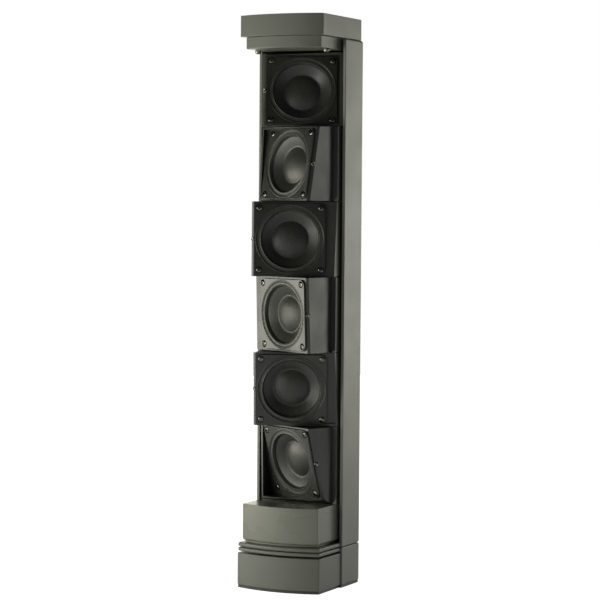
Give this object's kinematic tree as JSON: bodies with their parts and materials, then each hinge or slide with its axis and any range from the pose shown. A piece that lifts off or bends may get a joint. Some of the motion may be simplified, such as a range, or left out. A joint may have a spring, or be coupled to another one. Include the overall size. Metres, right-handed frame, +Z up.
{
  "type": "column loudspeaker upper section",
  "caption": "Slim column loudspeaker section: small drivers in angled cups, facing left and right in turn, in a rear channel between a cap and a plug-in foot.",
  "frame": {"origin": "middle of the plan's bounding box, on the flat resting face at the bottom", "axes": "+Z up the column, -Y towards the open front with the drivers, +X to the right as seen by someone facing the front"},
  "size_m": [0.0948, 0.0954, 0.5577],
  "materials": {
    "satin_paint": "satin fine-texture paint on aluminium",
    "painted_plastic": "satin fine-texture paint on plastic, matched to the channel",
    "cup_plastic": "fine-grained moulded black plastic",
    "frame_plastic": "moulded glass-filled black plastic",
    "zinc_steel": "dark zinc plating",
    "ferrite": "matt ferrite and plated steel",
    "cone_paper": "coated black pulp",
    "surround_rubber": "satin rubber",
    "contact_brass": "plated contacts",
    "wire_jacket": "sleeved wires"
  },
  "bodies": {
    "lower_section": {"bottom_plate": "cup_plastic", "lower_rear_shell": "satin_paint", "lower_front_cover": "painted_plastic", "socket_collar": "painted_plastic", "socket_housing": "cup_plastic", "socket_contact_bar": "contact_brass"},
    "array": {"coupler_plate": "painted_plastic", "plug_housing": "cup_plastic", "plug_contact_bar": "contact_brass", "rear_channel": "satin_paint", "bottom_block": "painted_plastic", "top_cap": "painted_plastic", "upper_grille_seat": "painted_plastic", "module_rail_left": "zinc_steel", "module_rail_right": "zinc_steel", "seat_screw_left": "zinc_steel", "seat_screw_right": "zinc_steel", "driver_cup_1": "cup_plastic", "basket_1": "frame_plastic", "magnet_1": "ferrite", "surround_1": "surround_rubber", "terminal_board_1": "contact_brass", "driver_cup_2": "cup_plastic", "basket_2": "frame_plastic", "magnet_2": "ferrite", "surround_2": "surround_rubber", "terminal_board_2": "contact_brass", "driver_cup_3": "cup_plastic", "basket_3": "frame_plastic", "magnet_3": "ferrite", "surround_3": "surround_rubber", "terminal_board_3": "contact_brass", "driver_cup_4": "cup_plastic", "basket_4": "frame_plastic", "magnet_4": "ferrite", "surround_4": "surround_rubber", "terminal_board_4": "contact_brass", "driver_cup_5": "cup_plastic", "basket_5": "frame_plastic", "magnet_5": "ferrite", "surround_5": "surround_rubber", "terminal_board_5": "contact_brass", "driver_cup_6": "cup_plastic", "basket_6": "frame_plastic", "magnet_6": "ferrite", "surround_6": "surround_rubber", "terminal_board_6": "contact_brass", "wiring_loom": "wire_jacket"},
    "cone_1": {"cone_1": "cone_paper"},
    "cone_2": {"cone_2": "cone_paper"},
    "cone_3": {"cone_3": "cone_paper"},
    "cone_4": {"cone_4": "cone_paper"},
    "cone_5": {"cone_5": "cone_paper"},
    "cone_6": {"cone_6": "cone_paper"}
  },
  "joints": [
    {"name": "array_lift", "type": "slide", "parent": "lower_section", "child": "array", "axis": [0, 0, 1], "range_m": [0, 0.06]},
    {"name": "cone_1_travel", "type": "slide", "parent": "array", "child": "cone_1", "axis": [0.4098, -0.8749, 0.2581], "range_m": [-0.0015, 0.0015], "stiffness_N_per_m": 400, "deforming": ["surround_1"]},
    {"name": "cone_2_travel", "type": "slide", "parent": "array", "child": "cone_2", "axis": [-0.4187, -0.8938, 0.1606], "range_m": [-0.0015, 0.0015], "stiffness_N_per_m": 400, "deforming": ["surround_2"]},
    {"name": "cone_3_travel", "type": "slide", "parent": "array", "child": "cone_3", "axis": [0.4234, -0.9039, 0.0615], "range_m": [-0.0015, 0.0015], "stiffness_N_per_m": 400, "deforming": ["surround_3"]},
    {"name": "cone_4_travel", "type": "slide", "parent": "array", "child": "cone_4", "axis": [-0.4239, -0.9049, -0.0382], "range_m": [-0.0015, 0.0015], "stiffness_N_per_m": 400, "deforming": ["surround_4"]},
    {"name": "cone_5_travel", "type": "slide", "parent": "array", "child": "cone_5", "axis": [0.4202, -0.897, -0.1375], "range_m": [-0.0015, 0.0015], "stiffness_N_per_m": 400, "deforming": ["surround_5"]},
    {"name": "cone_6_travel", "type": "slide", "parent": "array", "child": "cone_6", "axis": [-0.4123, -0.8801, -0.2355], "range_m": [-0.0015, 0.0015], "stiffness_N_per_m": 400, "deforming": ["surround_6"]}
  ]
}
